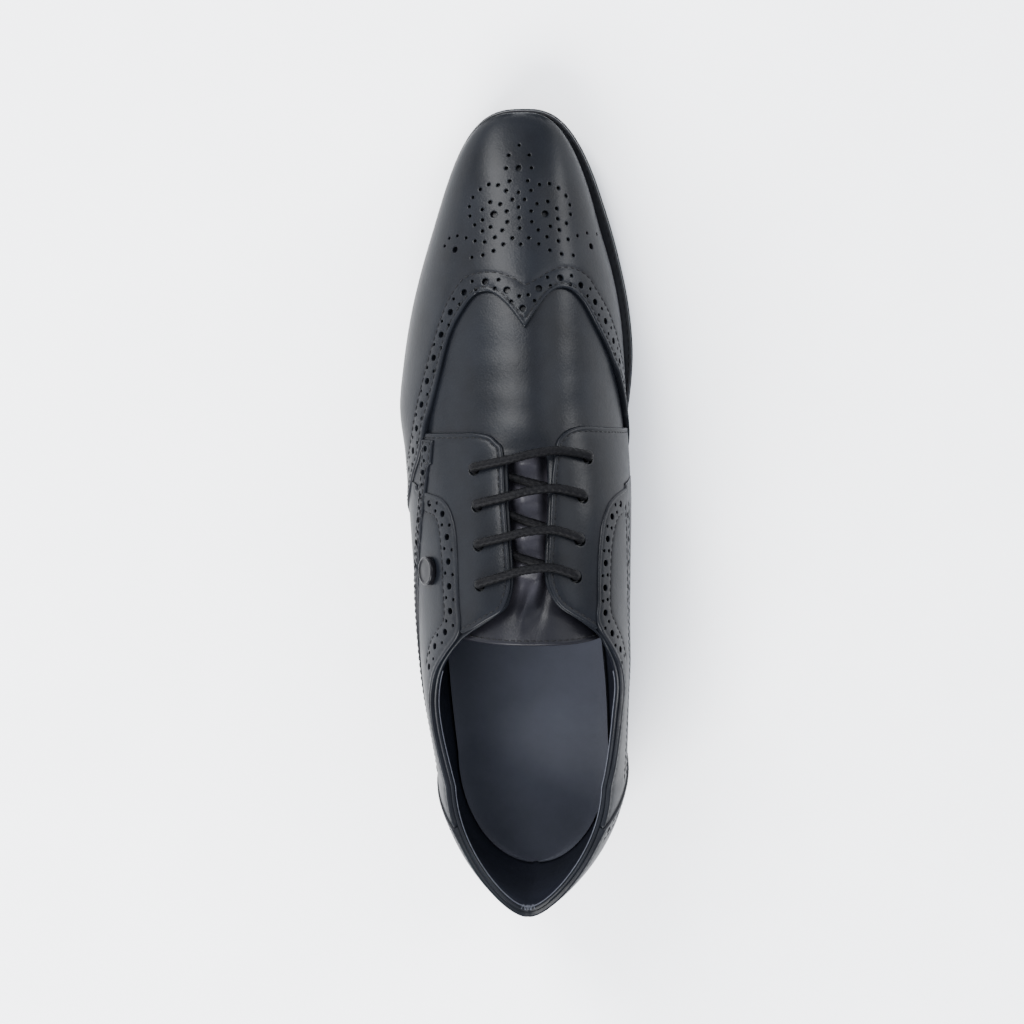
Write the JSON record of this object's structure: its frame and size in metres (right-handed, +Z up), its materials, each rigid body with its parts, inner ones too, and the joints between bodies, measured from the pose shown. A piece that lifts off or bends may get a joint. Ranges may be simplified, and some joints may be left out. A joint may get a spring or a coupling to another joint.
{
  "type": "brogue shoe",
  "caption": "Black leather wing-tip derby brogue for the left foot, laced in bars, with a hollow lasted upper, overlays, welt, low heel and arched sole.",
  "frame": {"origin": "middle of the base on the floor", "axes": "+X towards the medial side, +Y from heel to toe, +Z up from the floor"},
  "size_m": [0.0925, 0.3073, 0.0981],
  "materials": {
    "outsole": "matt black sole",
    "heel": "matt black heel block",
    "welt": "black inked welt",
    "insole": "dark navy-grey sock lining",
    "upper": "smooth black calf, soft shine",
    "overlay": "smooth black calf with punched patterns",
    "tongue": "smooth black calf",
    "laces": "waxed round cotton lace",
    "side_stud": "plain black stud"
  },
  "bodies": {
    "root": {"outsole": "outsole", "heel": "heel", "welt": "welt", "insole": "insole", "upper": "upper", "wing_cap": "overlay", "facing_lateral": "overlay", "facing_medial": "overlay", "foxing_lateral": "overlay", "foxing_medial": "overlay", "heel_counter": "overlay", "tongue": "tongue", "laces": "laces", "side_stud": "side_stud"}
  },
  "joints": []
}
